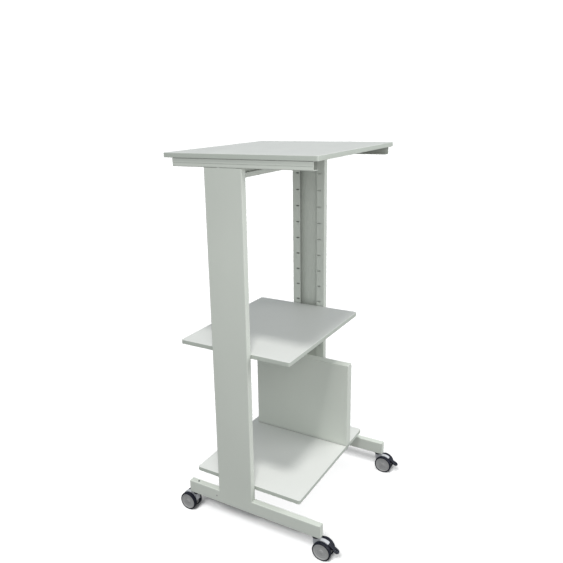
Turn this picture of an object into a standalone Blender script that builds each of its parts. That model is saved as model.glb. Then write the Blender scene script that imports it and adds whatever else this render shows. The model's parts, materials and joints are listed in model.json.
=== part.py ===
"""Mobile printer stand: a worktop and two shelves on two slotted C-columns, with four twin casters.

Metres, +Z up, floor at Z = 0, X left to right, front towards -Y, Y = 0 midway between the
front pedals' tips and the rear casters' backs.
"""
from math import atan2, cos, pi, radians, sin

import bmesh
import bpy
from mathutils import Matrix, Vector

# ---------------------------------------------------------------- driving dimensions
GAP = 0.0003                     # clearance between pieces that touch
SHEET = 0.002                    # steel sheet and tube wall
BEND = 0.0028                    # outer radius of a fold or tube corner
HALF_OUT = 0.2964                # half width over the columns, rails and feet
FRAME_T = 0.024                  # width of a column or foot across X

TOP_HALF_W = 0.300
TOP_Y = (-0.2405, 0.2945)
TOP_Z = 1.290
TOP_CORNER = 0.006
BOARD_T = 0.015                  # thickness of the worktop and both shelves
BOARD_EDGE = 0.0015              # rounding of the boards' rims

RAIL_Y = (-0.225, 0.261)
RAIL_W = 0.026
RAIL_Z = (1.2485, 1.2747)
RAIL_GROOVE_Z = (1.2594, 1.2609)  # groove along a rail's outer face
RAIL_GROOVE_DEEP = 0.0010

COLUMN_Y = (0.008, 0.143)
COLUMN_LIP = 0.032
COLUMN_Z = (0.1193, 1.2482)

SLOT_L = 0.014
SLOT_H = 0.005
SLOT_CORNER = 0.0012
SLOT_EDGE = 0.003                # from a lip's free edge to its slots
SLOT_TOP_Z = 1.174
SLOT_PITCH = 0.0625
SLOT_COUNT = 17

CROSSBAR_Y = (0.063, 0.088)
CROSSBAR_H = 0.040               # height of the rear wall
CROSSBAR_FRONT_H = 0.0155        # height of the front wall

FOOT_Y = (-0.250, 0.272)
FOOT_Z = (0.072, 0.119)
FOOT_HOLE_Y = 0.2395
FOOT_HOLE_R = 0.0025
CAP_T = 0.002
CAP_EDGE = 0.0006
CAP_INSERT = 0.010

MID_HALF_W = 0.2716
MID_Y = (-0.1315, 0.292)
MID_TOP_Z = 0.656
LOW_HALF_W = 0.2675
LOW_Y = (-0.162, 0.254)
LOW_TOP_Z = 0.166
SHELF_CORNER = 0.008

ANGLE_IN = 0.026                 # inward flange of a shelf support
ANGLE_MID_Y = (0.017, 0.134)
ANGLE_MID_DROP = 0.040
ANGLE_LOW_Y = (0.031, 0.120)
ANGLE_LOW_DROP = 0.028
HOOK_SLOT = 9                    # slots from the top down to the middle shelf's hooks
HOOK_Z = SLOT_TOP_Z - HOOK_SLOT * SLOT_PITCH
HOOK_HALF_H = 0.0018
HOOK_DROP = 0.0065               # how far a hook hangs down behind its slot
HOOK_SIDE = 0.0015               # a hook's clearance to the ends of its slot
HOOK_BEHIND = 0.0006             # and to the back of the lip

GUARD_X = (0.117, 0.150)
GUARD_Y = (-0.164, 0.227)
GUARD_H = 0.3312
GUARD_BEND = 0.0017

STEM_Y = (-0.230, 0.252)         # swivel axes of the front and rear casters
STEM_R = 0.005
STEM_TOP_Z = 0.095
TRAIL = 0.028                    # swivel axis to wheel axle
PIN_R = 0.004                    # swivel pin inside the caster body
PIN_LOW_Z = 0.046
WASHER_R = 0.012
TURNED_EDGE = 0.0006             # chamfer of the small turned pieces

WHEEL_R = 0.0325
WHEEL_W = 0.015
WHEEL_IN = 0.0077                # caster centre plane to a wheel's inner face
AXLE_R = 0.003
AXLE_DEEP = 0.0097               # how far the axle reaches into a hub
HUB_R = 0.0278
HUB_RIM_R = 0.0252               # inner edge of the raised ring on a hub's face
HUB_DISC_R = 0.0238
HUB_BOSS_R = 0.0085
HUB_FACE = 0.0130                # from a hub's inner face to its recessed disc
HUB_RAISED = 0.0147
TYRE_EDGE = 0.0024

HOOD_HALF_T = 0.007
HOOD_R = 0.0333
HOOD_TOP_Z = 0.0667
HOOD_BACK = -0.0082              # from the swivel axis, away from the axle
HOOD_EDGE = 0.0012
HOOD_ARC = (-38.0, 100.0)        # degrees covered by the hood's round end
HOOD_STEP = 54.0                 # degrees below which a braked hood makes room for its pedal
HOOD_STEP_R = 0.0235

# A pedal's points are (outwards, upwards) from its wheels' axle.
PEDAL_PIVOT = (0.0155, 0.0125)
PEDAL_EYE_R = 0.0036             # round end of the tongue, about the pivot
PEDAL_TONGUE_END = (0.0275, 0.0160)
PEDAL_TONGUE_HALF_W = 0.0027
PEDAL_ROOT_ARC = (20.0, 52.0)    # degrees covered by the edge that faces the hood
PEDAL_ROOT_R = (0.0260, 0.0243)  # radius of that edge at its two ends
PEDAL_BROW = 45.0                # degrees at which the root leaves the hood's outer radius
PEDAL_NOSE = ((0.0387, 0.0149), (0.0359, 0.0101))
PEDAL_ROOT_HALF_W = 0.0063
PEDAL_EDGE = 0.0010
PLATE_FROM = (0.0260, 0.0190)    # inner end of the foot plate's centre line
PLATE_SLOPE = 29.0               # degrees below level when released
PLATE_L = 0.0327
PLATE_FLARE = (0.009, 0.014)     # along the plate, from the root's width to its own
PLATE_HALF_W = 0.0095
PLATE_HALF_T = 0.0028
PLATE_SLOT = (0.015, 0.028)
PLATE_SLOT_HALF_W = 0.0025
PEDAL_PIN_R = 0.0015
PEDAL_PIN_HALF = 0.0066
TONGUE_ROOM = (0.0116, 0.0400, 0.0080, 0.0187)  # slot in a braked hood: out from, out to, low, high

SCREW_R = 0.0018
SCREW_L = 0.0125
SCREW_HEAD_R = 0.0038
SCREW_HEAD_H = 0.0022
GUARD_SCREW_Y = (-0.130, 0.0315, 0.193)

THROUGH = 0.010                  # how far a cutter runs past what it cuts


# ---------------------------------------------------------------- mesh helpers
def material(name, colour, metallic, roughness):
    """Principled material."""
    mat = bpy.data.materials.new(name)
    mat.use_nodes = True
    shader = mat.node_tree.nodes["Principled BSDF"]
    shader.inputs["Base Color"].default_value = (*colour, 1.0)
    shader.inputs["Metallic"].default_value = metallic
    shader.inputs["Roughness"].default_value = roughness
    mat.diffuse_color = (*colour, 1.0)
    return mat


def emit(name, bm, mat, origin=(0.0, 0.0, 0.0), smooth=35.0):
    """Turns a bmesh in world coordinates into an object whose origin is at `origin`."""
    bmesh.ops.remove_doubles(bm, verts=bm.verts, dist=1e-6)
    bmesh.ops.recalc_face_normals(bm, faces=bm.faces)
    bmesh.ops.translate(bm, verts=bm.verts, vec=-Vector(origin))
    mesh = bpy.data.meshes.new(name)
    bm.to_mesh(mesh)
    bm.free()
    if mat is not None:
        mesh.materials.append(mat)
    mesh.shade_smooth()
    mesh.set_sharp_from_angle(angle=radians(smooth))
    obj = bpy.data.objects.new(name, mesh)
    obj.location = origin
    bpy.context.scene.collection.objects.link(obj)
    return obj


def skin(bm, loops, ring=False):
    """Skins equal-length 3-D loops with quads, and caps the ends unless they form a ring."""
    rows = [[bm.verts.new(point) for point in loop] for loop in loops]
    pairs = list(zip(rows, rows[1:]))
    if ring:
        pairs.append((rows[-1], rows[0]))
    count = len(rows[0])
    for low, high in pairs:
        for i in range(count):
            j = (i + 1) % count
            bm.faces.new((low[i], low[j], high[j], high[i]))
    if not ring:
        bm.faces.new(rows[0])
        bm.faces.new(rows[-1])
    return bm


def place(loop, axis, at):
    """Lifts a 2-D loop into 3-D: (y, z) for axis X, (x, z) for axis Y, (x, y) for axis Z."""
    if axis == "X":
        return [(at, u, v) for u, v in loop]
    if axis == "Y":
        return [(u, at, v) for u, v in loop]
    return [(u, v, at) for u, v in loop]


def rounded_rect(u0, u1, v0, v1, radius, steps=4):
    """Anticlockwise rectangle with round corners."""
    centres = ((u1 - radius, v1 - radius), (u0 + radius, v1 - radius),
               (u0 + radius, v0 + radius), (u1 - radius, v0 + radius))
    loop = []
    for quarter, (cu, cv) in enumerate(centres):
        for k in range(steps + 1):
            angle = (quarter + k / steps) * pi / 2
            loop.append((cu + radius * cos(angle), cv + radius * sin(angle)))
    return loop


def stadium(start, end, radius, steps=8):
    """Anticlockwise outline of a bar with round ends between two points."""
    lead = atan2(end[1] - start[1], end[0] - start[0])
    loop = []
    for centre, turn in ((end, lead - pi / 2), (start, lead + pi / 2)):
        for k in range(steps + 1):
            angle = turn + pi * k / steps
            loop.append((centre[0] + radius * cos(angle), centre[1] + radius * sin(angle)))
    return loop


def inset(loop, amount):
    """Moves each point of an anticlockwise 2-D loop inwards along its corner's bisector."""
    moved = []
    for i, point in enumerate(loop):
        here = Vector(point)
        before = (here - Vector(loop[i - 1])).normalized()
        after = (Vector(loop[(i + 1) % len(loop)]) - here).normalized()
        normal = Vector((-before.y - after.y, before.x + after.x)).normalized()
        scale = amount / max(0.3, normal.dot(Vector((-before.y, before.x))))
        moved.append(tuple(here + normal * scale))
    return moved


def slab(bm, loop, axis, low, high, edge, steps=3):
    """Extrudes a 2-D loop between two planes and rounds both rims by `edge`."""
    loops = []
    for k in range(steps + 1):
        angle = k / steps * pi / 2
        loops.append(place(inset(loop, edge * (1 - sin(angle))), axis, low + edge * (1 - cos(angle))))
    for k in range(steps + 1):
        angle = (1 - k / steps) * pi / 2
        loops.append(place(inset(loop, edge * (1 - sin(angle))), axis, high - edge * (1 - cos(angle))))
    return skin(bm, loops)


def folded(path, sheet, radius, steps=4):
    """Outline of a folded sheet: an open 2-D centre line with its bends rounded, given thickness."""
    points = []
    middle = radius - sheet / 2
    for i, corner in enumerate(path):
        here = Vector(corner)
        if i in (0, len(path) - 1):
            other = Vector(path[1] if i == 0 else path[-2])
            along = (other - here if i == 0 else here - other).normalized()
            points.append((here, along))
            continue
        before = (here - Vector(path[i - 1])).normalized()
        after = (Vector(path[i + 1]) - here).normalized()
        turn = 1.0 if before.x * after.y - before.y * after.x > 0 else -1.0
        centre = here - before * middle + Vector((-before.y, before.x)) * turn * middle
        start = atan2(before.y, before.x)
        for k in range(steps + 1):
            angle = start + turn * (pi / 2) * k / steps
            along = Vector((cos(angle), sin(angle)))
            points.append((centre + Vector((along.y, -along.x)) * turn * middle, along))
    left = [tuple(p + Vector((-a.y, a.x)) * sheet / 2) for p, a in points]
    right = [tuple(p - Vector((-a.y, a.x)) * sheet / 2) for p, a in points]
    return right + left[::-1]


def spin(bm, profile, centre, axis, segments, ring=False):
    """Turns (radius, distance) pairs about an axis through `centre`; zero radii become poles."""
    rows = []
    for radius, along in profile:
        row = []
        for k in range(1 if radius == 0.0 else segments):
            angle = 2 * pi * k / segments
            u, v = radius * cos(angle), radius * sin(angle)
            offset = (along, u, v) if axis == "X" else (u, v, along)
            row.append(bm.verts.new(Vector(centre) + Vector(offset)))
        rows.append(row)
    pairs = list(zip(rows, rows[1:]))
    if ring:
        pairs.append((rows[-1], rows[0]))
    for low, high in pairs:
        for i in range(segments):
            j = (i + 1) % segments
            corners = [low[i % len(low)], low[j % len(low)], high[j % len(high)], high[i % len(high)]]
            bm.faces.new(list(dict.fromkeys(corners)))
    return bm


def rod(bm, radius, low, high, centre, axis, segments=20):
    """Plain cylinder between two distances along an axis."""
    return spin(bm, [(0.0, low), (radius, low), (radius, high), (0.0, high)], centre, axis, segments)


def blocks(bm, solids, voids=()):
    """Closed surface of a union of boxes less other boxes, each given as (x0, x1, y0, y1, z0, z1)."""
    every = list(solids) + list(voids)
    cuts = []
    for axis in range(3):
        cuts.append(sorted({round(box[2 * axis + side], 7) for box in every for side in (0, 1)}))

    def inside(cell):
        middle = [(cuts[axis][cell[axis]] + cuts[axis][cell[axis] + 1]) / 2 for axis in range(3)]

        def within(box):
            return all(box[2 * axis] < middle[axis] < box[2 * axis + 1] for axis in range(3))

        return any(within(box) for box in solids) and not any(within(box) for box in voids)

    sizes = [len(line) - 1 for line in cuts]
    cells = [(i, j, k) for i in range(sizes[0]) for j in range(sizes[1]) for k in range(sizes[2])]
    filled = {cell for cell in cells if inside(cell)}
    verts = {}

    def vert(i, j, k):
        if (i, j, k) not in verts:
            verts[i, j, k] = bm.verts.new((cuts[0][i], cuts[1][j], cuts[2][k]))
        return verts[i, j, k]

    for cell in filled:
        for axis in range(3):
            for side in (0, 1):
                other = list(cell)
                other[axis] += 1 if side else -1
                if tuple(other) in filled:
                    continue
                u, v = [a for a in range(3) if a != axis]
                corners = []
                for du, dv in ((0, 0), (1, 0), (1, 1), (0, 1)):
                    index = list(cell)
                    index[axis] += side
                    index[u] += du
                    index[v] += dv
                    corners.append(vert(*index))
                bm.faces.new(corners)
    bmesh.ops.recalc_face_normals(bm, faces=bm.faces)
    return bm


def cutter(name, bm):
    """Hidden wire-display object that another piece's Boolean reads."""
    obj = emit(name, bm, None)
    obj.hide_render = True
    obj.display_type = "WIRE"
    return obj


def combine(obj, tool, operation):
    """Boolean with a hidden tool."""
    mod = obj.modifiers.new(operation.lower() + "_" + tool.name, "BOOLEAN")
    mod.operation = operation
    mod.solver = "EXACT"
    mod.object = tool


def subtract(obj, tool):
    """Boolean difference."""
    combine(obj, tool, "DIFFERENCE")


def span(a, b):
    """The two values in rising order."""
    return (min(a, b), max(a, b))


# ---------------------------------------------------------------- boards
def board(name, half_w, depth, top, corner, mat):
    """Flat panel with round corners and softened edges."""
    loop = rounded_rect(-half_w, half_w, depth[0], depth[1], corner)
    return emit(name, slab(bmesh.new(), loop, "Z", top - BOARD_T, top, BOARD_EDGE), mat)


# ---------------------------------------------------------------- frame
def rail(name, side, mat):
    """C-channel under the worktop, open towards the middle, with a groove along its outer face."""
    web = side * (HALF_OUT - SHEET / 2)
    free = side * (HALF_OUT - RAIL_W)
    low = RAIL_Z[0] + SHEET / 2
    high = RAIL_Z[1] - SHEET / 2
    outline = folded([(free, low), (web, low), (web, high), (free, high)], SHEET, BEND)
    loops = [place(outline, "Y", y) for y in RAIL_Y]
    obj = emit(name, skin(bmesh.new(), loops), mat)

    x0, x1 = span(side * (HALF_OUT - RAIL_GROOVE_DEEP), side * (HALF_OUT + THROUGH))
    loop = [(x0, RAIL_GROOVE_Z[0]), (x1, RAIL_GROOVE_Z[0]), (x1, RAIL_GROOVE_Z[1]), (x0, RAIL_GROOVE_Z[1])]
    ends = (RAIL_Y[0] - THROUGH, RAIL_Y[1] + THROUGH)
    subtract(obj, cutter("groove_of_" + name, skin(bmesh.new(), [place(loop, "Y", y) for y in ends])))
    return obj


def crossbar(name, mat):
    """Channel between the columns, open upwards, with a low front wall."""
    front = CROSSBAR_Y[0] + SHEET / 2
    rear = CROSSBAR_Y[1] - SHEET / 2
    low = COLUMN_Z[1] - CROSSBAR_H
    path = [(front, low + CROSSBAR_FRONT_H), (front, low + SHEET / 2), (rear, low + SHEET / 2),
            (rear, COLUMN_Z[1])]
    end = HALF_OUT - SHEET - GAP
    loops = [place(folded(path, SHEET, BEND), "X", x) for x in (-end, end)]
    return emit(name, skin(bmesh.new(), loops), mat)


def column(name, side, mat):
    """Slotted C-column with two return lips, open towards the middle."""
    web = side * (HALF_OUT - SHEET / 2)
    lip = side * (HALF_OUT - FRAME_T + SHEET / 2)
    front = COLUMN_Y[0] + SHEET / 2
    rear = COLUMN_Y[1] - SHEET / 2
    path = [(lip, COLUMN_Y[0] + COLUMN_LIP), (lip, front), (web, front),
            (web, rear), (lip, rear), (lip, COLUMN_Y[1] - COLUMN_LIP)]
    loops = [place(folded(path, SHEET, BEND), "Z", z) for z in COLUMN_Z]
    obj = emit(name, skin(bmesh.new(), loops), mat)

    front_end = COLUMN_Y[0] + COLUMN_LIP - SLOT_EDGE
    rear_start = COLUMN_Y[1] - COLUMN_LIP + SLOT_EDGE
    x0, x1 = span(side * (HALF_OUT - FRAME_T - SHEET), side * (HALF_OUT - FRAME_T + 2 * SHEET))
    bm = bmesh.new()
    for k in range(SLOT_COUNT):
        z = SLOT_TOP_Z - k * SLOT_PITCH
        for y0 in (front_end - SLOT_L, rear_start):
            loop = rounded_rect(y0, y0 + SLOT_L, z - SLOT_H / 2, z + SLOT_H / 2, SLOT_CORNER, 1)
            skin(bm, [place(loop, "X", x0), place(loop, "X", x1)])
    subtract(obj, cutter("slots_of_" + name, bm))
    return obj


def box_tube(y, x, z):
    """Rectangular tube along Y with round corners."""
    outer = rounded_rect(x[0], x[1], z[0], z[1], BEND)
    inner = rounded_rect(x[0] + SHEET, x[1] - SHEET, z[0] + SHEET, z[1] - SHEET, BEND - SHEET)
    loops = [place(outer, "Y", y[0]), place(outer, "Y", y[1]),
             place(inner, "Y", y[1]), place(inner, "Y", y[0])]
    return skin(bmesh.new(), loops, ring=True)


def foot(name, side, mat):
    """Floor tube with a hole under each end for a caster stem and a small one on top."""
    x = span(side * HALF_OUT, side * (HALF_OUT - FRAME_T))
    middle = sum(x) / 2
    ends = (FOOT_Y[0] + CAP_T + GAP, FOOT_Y[1] - CAP_T - GAP)
    obj = emit(name, box_tube(ends, x, FOOT_Z), mat)
    bm = bmesh.new()
    for y in STEM_Y:
        rod(bm, STEM_R + GAP, -2 * SHEET, 2 * SHEET, (middle, y, FOOT_Z[0]), "Z")
    rod(bm, FOOT_HOLE_R, -2 * SHEET, 2 * SHEET, (middle, FOOT_HOLE_Y, FOOT_Z[1]), "Z")
    subtract(obj, cutter("holes_of_" + name, bm))
    return obj


def foot_cap(name, side, end, mat):
    """End plug: a flush plate and an insert inside the tube."""
    x = span(side * HALF_OUT, side * (HALF_OUT - FRAME_T))
    clear = SHEET + GAP
    plate = rounded_rect(x[0], x[1], FOOT_Z[0], FOOT_Z[1], BEND)
    insert = rounded_rect(x[0] + clear, x[1] - clear, FOOT_Z[0] + clear, FOOT_Z[1] - clear, BEND - SHEET)
    outward = -1.0 if end == 0 else 1.0
    face = FOOT_Y[end]
    back = face - outward * CAP_T
    stations = [(inset(plate, CAP_EDGE), face), (plate, face - outward * CAP_EDGE), (plate, back),
                (insert, back), (insert, back - outward * CAP_INSERT)]
    return emit(name, skin(bmesh.new(), [place(loop, "Y", y) for loop, y in stations]), mat)


def angle_support(name, side, top, drop, y_span, hooked, mat):
    """Angle under a shelf, against a column's lips; the hooked one also hangs in their slots."""
    face = HALF_OUT - FRAME_T - GAP
    solids = [(face - SHEET, face, *y_span, top - drop, top),
              (face - ANGLE_IN, face, *y_span, top - SHEET, top)]
    if hooked:
        behind = HALF_OUT - FRAME_T + SHEET + HOOK_BEHIND
        front_end = COLUMN_Y[0] + COLUMN_LIP - SLOT_EDGE
        rear_start = COLUMN_Y[1] - COLUMN_LIP + SLOT_EDGE
        for y0 in (front_end - SLOT_L, rear_start):
            y = (y0 + HOOK_SIDE, y0 + SLOT_L - HOOK_SIDE)
            high = HOOK_Z + HOOK_HALF_H
            solids.append((face - SHEET, behind + SHEET, *y, HOOK_Z - HOOK_HALF_H, high))
            solids.append((behind, behind + SHEET, *y, HOOK_Z - HOOK_DROP, high))
    placed = []
    for x0, x1, *rest in solids:
        placed.append((*span(side * x0, side * x1), *rest))
    return emit(name, blocks(bmesh.new(), placed), mat)


def side_guard(name, mat):
    """Upright sheet partition whose edges are folded outwards into a shallow tray."""
    z = (LOW_TOP_Z + GAP, LOW_TOP_Z + GAP + GUARD_H)
    outer = (*GUARD_X, *GUARD_Y, *z)
    hollow = (GUARD_X[0] + SHEET, GUARD_X[1] + THROUGH, GUARD_Y[0] + SHEET, GUARD_Y[1] - SHEET,
              z[0] + SHEET, z[1] - SHEET)
    bm = bmesh.new()
    blocks(bm, [outer], [hollow])
    bmesh.ops.dissolve_limit(bm, angle_limit=0.01, verts=bm.verts, edges=bm.edges)
    rims = [e for e in bm.edges if e.is_convex and e.calc_face_angle() > 1.0
            and min(v.co.x for v in e.verts) < GUARD_X[0] + 1e-5]
    bmesh.ops.bevel(bm, geom=rims, offset=GUARD_BEND, segments=3, profile=0.5, affect="EDGES")
    return emit(name, bm, mat)


# ---------------------------------------------------------------- casters
def arc(centre, radius, start, end, steps):
    """Points on an arc between two angles in degrees, the ends included."""
    points = []
    for k in range(steps + 1):
        angle = radians(start + (end - start) * k / steps)
        points.append((centre[0] + radius * cos(angle), centre[1] + radius * sin(angle)))
    return points


def hood_outline(axle_y, away, braked):
    """Side outline of the caster body, anticlockwise, in (y, z); `away` points from stem to axle."""
    local = [(HOOD_BACK, 0.0440), (0.0100, 0.0240), (0.0180, 0.0205), (0.0270, 0.0200)]
    axle = (TRAIL, WHEEL_R)
    if braked:
        local += arc(axle, HOOD_STEP_R, HOOD_ARC[0], HOOD_STEP, 8)
        local += arc(axle, HOOD_R, HOOD_STEP, HOOD_ARC[1], 4)
    else:
        local += arc(axle, HOOD_R, HOOD_ARC[0], HOOD_ARC[1], 11)
    local += [(TRAIL / 2, HOOD_TOP_Z), (HOOD_BACK, HOOD_TOP_Z)]
    stem_y = axle_y - away * TRAIL
    loop = [(stem_y + away * u, z) for u, z in local]
    return loop if away > 0 else loop[::-1]


def mount(tag, x, stem_y, mat):
    """Stem in the foot with the swivel pin below it, turned in one piece."""
    low = HOOD_TOP_Z + GAP
    cut = TURNED_EDGE
    profile = [(0.0, PIN_LOW_Z), (PIN_R - cut, PIN_LOW_Z), (PIN_R, PIN_LOW_Z + cut), (PIN_R, low),
               (STEM_R, low), (STEM_R, STEM_TOP_Z - cut), (STEM_R - cut, STEM_TOP_Z), (0.0, STEM_TOP_Z)]
    bm = spin(bmesh.new(), profile, (x, stem_y, 0.0), "Z", 24)
    return emit("mount_" + tag, bm, mat)


def washer(tag, x, stem_y, mat):
    """Thrust washer round the stem, between the foot and the caster body."""
    low = HOOD_TOP_Z + GAP
    high = FOOT_Z[0] - GAP
    cut = TURNED_EDGE
    bore = STEM_R + GAP
    profile = [(bore, low), (WASHER_R - cut, low), (WASHER_R, low + cut), (WASHER_R, high - cut),
               (WASHER_R - cut, high), (bore, high)]
    bm = spin(bmesh.new(), profile, (x, stem_y, 0.0), "Z", 24, ring=True)
    return emit("washer_" + tag, bm, mat)


def axle_pin(tag, axle, mat):
    """Axle through the caster body into both hubs."""
    reach = WHEEL_IN + AXLE_DEEP
    cut = TURNED_EDGE
    profile = [(0.0, -reach), (AXLE_R - cut, -reach), (AXLE_R, cut - reach),
               (AXLE_R, reach - cut), (AXLE_R - cut, reach), (0.0, reach)]
    return emit("axle_" + tag, spin(bmesh.new(), profile, axle, "X", 20), mat, axle)


def wheel(tag, hand, axle, mats):
    """Hub with a blind axle hole and a raised ring on its face, and the tyre round it."""
    base = hand * WHEEL_IN
    cut = TURNED_EDGE
    hub = [(0.0, HUB_FACE + cut), (HUB_BOSS_R - cut, HUB_FACE + cut), (HUB_BOSS_R, HUB_FACE),
           (HUB_DISC_R, HUB_FACE), (HUB_RIM_R, HUB_RAISED), (HUB_R - cut, HUB_RAISED),
           (HUB_R, HUB_RAISED - cut), (HUB_R, cut), (HUB_R - cut, 0.0),
           (AXLE_R + GAP, 0.0), (AXLE_R + GAP, AXLE_DEEP + GAP), (0.0, AXLE_DEEP + GAP)]
    bm = spin(bmesh.new(), [(r, base + hand * a) for r, a in hub], axle, "X", 32)
    emit("hub_" + tag, bm, mats["hub"], axle)
    seat = HUB_R + GAP
    edge = TYRE_EDGE
    half = [(seat, cut), (seat + cut, 0.0), (WHEEL_R - 0.7 * edge, 0.0),
            (WHEEL_R - 0.2 * edge, 0.3 * edge), (WHEEL_R, edge)]
    tyre = half + [(r, WHEEL_W - a) for r, a in half[::-1]]
    bm = spin(bmesh.new(), [(r, base + hand * a) for r, a in tyre], axle, "X", 40, ring=True)
    emit("tyre_" + tag, bm, mats["tyre"], axle)


def caster(tag, x, stem_y, away, braked, mats):
    """Twin-wheel swivel caster below a foot's end."""
    axle_y = stem_y + away * TRAIL
    stem = (x, stem_y, 0.0)
    axle = (x, axle_y, WHEEL_R)
    mount(tag, x, stem_y, mats["steel"])
    washer(tag, x, stem_y, mats["black"])
    outline = hood_outline(axle_y, away, braked)
    bm = slab(bmesh.new(), outline, "X", x - HOOD_HALF_T, x + HOOD_HALF_T, HOOD_EDGE, 2)
    hood = emit("hood_" + tag, bm, mats["hood"], stem)
    bore = rod(bmesh.new(), PIN_R + GAP, PIN_LOW_Z - 2 * GAP, HOOD_TOP_Z + THROUGH, stem, "Z")
    subtract(hood, cutter("bore_of_hood_" + tag, bore))
    eye = rod(bmesh.new(), AXLE_R + GAP, -THROUGH, THROUGH, axle, "X")
    subtract(hood, cutter("eye_of_hood_" + tag, eye))
    axle_pin(tag, axle, mats["steel"])
    wheel(tag + "_l", -1.0, axle, mats)
    wheel(tag + "_r", 1.0, axle, mats)
    if braked:
        brake(tag, axle, away, hood, mats)


def pedal_root(x, half_w, outline, edge):
    """Part of a pedal that lies between the wheels: a side outline given a width."""
    return slab(bmesh.new(), outline, "X", x - half_w, x + half_w, edge, 2)


def foot_plate(axle, away):
    """Sloping plate of a pedal with a round end, and the tool for the slot along it."""
    flare, full = PLATE_FLARE
    half = [(PEDAL_ROOT_HALF_W, 0.0), (PEDAL_ROOT_HALF_W, flare), (PLATE_HALF_W, full)]
    outline = half + arc((0.0, PLATE_L - PLATE_HALF_W), PLATE_HALF_W, 0.0, 180.0, 14)
    outline += [(-w, t) for w, t in half[::-1]]
    slope = radians(PLATE_SLOPE)
    start = Vector(axle) + Vector((0.0, away * PLATE_FROM[0], PLATE_FROM[1]))
    along = Vector((0.0, away * cos(slope), -sin(slope)))
    normal = Vector((0.0, away * sin(slope), cos(slope)))
    turn = Matrix((Vector((1.0, 0.0, 0.0)), along, normal)).transposed()
    plate = slab(bmesh.new(), outline, "Z", -PLATE_HALF_T, PLATE_HALF_T, PEDAL_EDGE)
    hole = rounded_rect(-PLATE_SLOT_HALF_W, PLATE_SLOT_HALF_W, *PLATE_SLOT, 0.9 * PLATE_SLOT_HALF_W)
    slot = skin(bmesh.new(), [place(hole, "Z", -THROUGH), place(hole, "Z", THROUGH)])
    for bm in (plate, slot):
        bmesh.ops.transform(bm, matrix=Matrix.Translation(start) @ turn.to_4x4(), verts=bm.verts)
    return plate, slot


def brake(tag, axle, away, hood, mats):
    """Pedal on a cross pin in the stepped end of the caster body; `away` points outwards along Y."""
    x = axle[0]

    def world(loop):
        moved = [(axle[1] + away * u, axle[2] + v) for u, v in loop]
        return moved if away > 0 else moved[::-1]

    pivot = Vector(axle) + Vector((0.0, away * PEDAL_PIVOT[0], PEDAL_PIVOT[1]))
    first, last = PEDAL_ROOT_ARC
    inner = []
    for k in range(7):
        angle = radians(first + (last - first) * k / 6)
        radius = PEDAL_ROOT_R[0] + (PEDAL_ROOT_R[1] - PEDAL_ROOT_R[0]) * k / 6
        inner.append((radius * cos(angle), radius * sin(angle)))
    root = inner[::-1] + list(PEDAL_NOSE[::-1]) + arc((0.0, 0.0), HOOD_R, PEDAL_BROW, last, 2)
    tongue = stadium(PEDAL_PIVOT, PEDAL_TONGUE_END, PEDAL_EYE_R)
    plate, slot = foot_plate(axle, away)

    pedal = emit("pedal_" + tag, pedal_root(x, PEDAL_ROOT_HALF_W, world(root), PEDAL_EDGE),
                 mats["black"], pivot)
    narrow = pedal_root(x, PEDAL_TONGUE_HALF_W, world(tongue), GAP)
    combine(pedal, cutter("tongue_of_pedal_" + tag, narrow), "UNION")
    combine(pedal, cutter("plate_of_pedal_" + tag, plate), "UNION")
    subtract(pedal, cutter("slot_of_pedal_" + tag, slot))
    for piece in (pedal, hood):
        hole = rod(bmesh.new(), PEDAL_PIN_R + GAP, -THROUGH, THROUGH, pivot, "X", 16)
        subtract(piece, cutter("pin_hole_of_" + piece.name, hole))
    half = PEDAL_TONGUE_HALF_W + GAP
    y = span(axle[1] + away * TONGUE_ROOM[0], axle[1] + away * TONGUE_ROOM[1])
    room = (x - half, x + half, *y, axle[2] + TONGUE_ROOM[2], axle[2] + TONGUE_ROOM[3])
    subtract(hood, cutter("slot_of_hood_" + tag, blocks(bmesh.new(), [room])))
    pin = rod(bmesh.new(), PEDAL_PIN_R, -PEDAL_PIN_HALF, PEDAL_PIN_HALF, pivot, "X", 16)
    emit("pedal_pin_" + tag, pin, mats["steel"], pivot)


# ---------------------------------------------------------------- screws
def screw(name, seat, pieces, mat):
    """Pan-head screw driven straight down at `seat`, and its hole in `pieces`."""
    profile = [(0.0, SCREW_HEAD_H), (0.6 * SCREW_HEAD_R, 0.9 * SCREW_HEAD_H),
               (SCREW_HEAD_R, 0.35 * SCREW_HEAD_H), (SCREW_HEAD_R, GAP), (SCREW_R, GAP),
               (SCREW_R, 2 * SCREW_R - SCREW_L), (0.0, -SCREW_L)]
    emit(name, spin(bmesh.new(), profile, seat, "Z", 16), mat)
    hole = rod(bmesh.new(), SCREW_R + GAP, -SCREW_L - GAP, THROUGH, seat, "Z", 16)
    tool = cutter("hole_for_" + name, hole)
    for piece in pieces:
        subtract(piece, tool)


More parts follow.
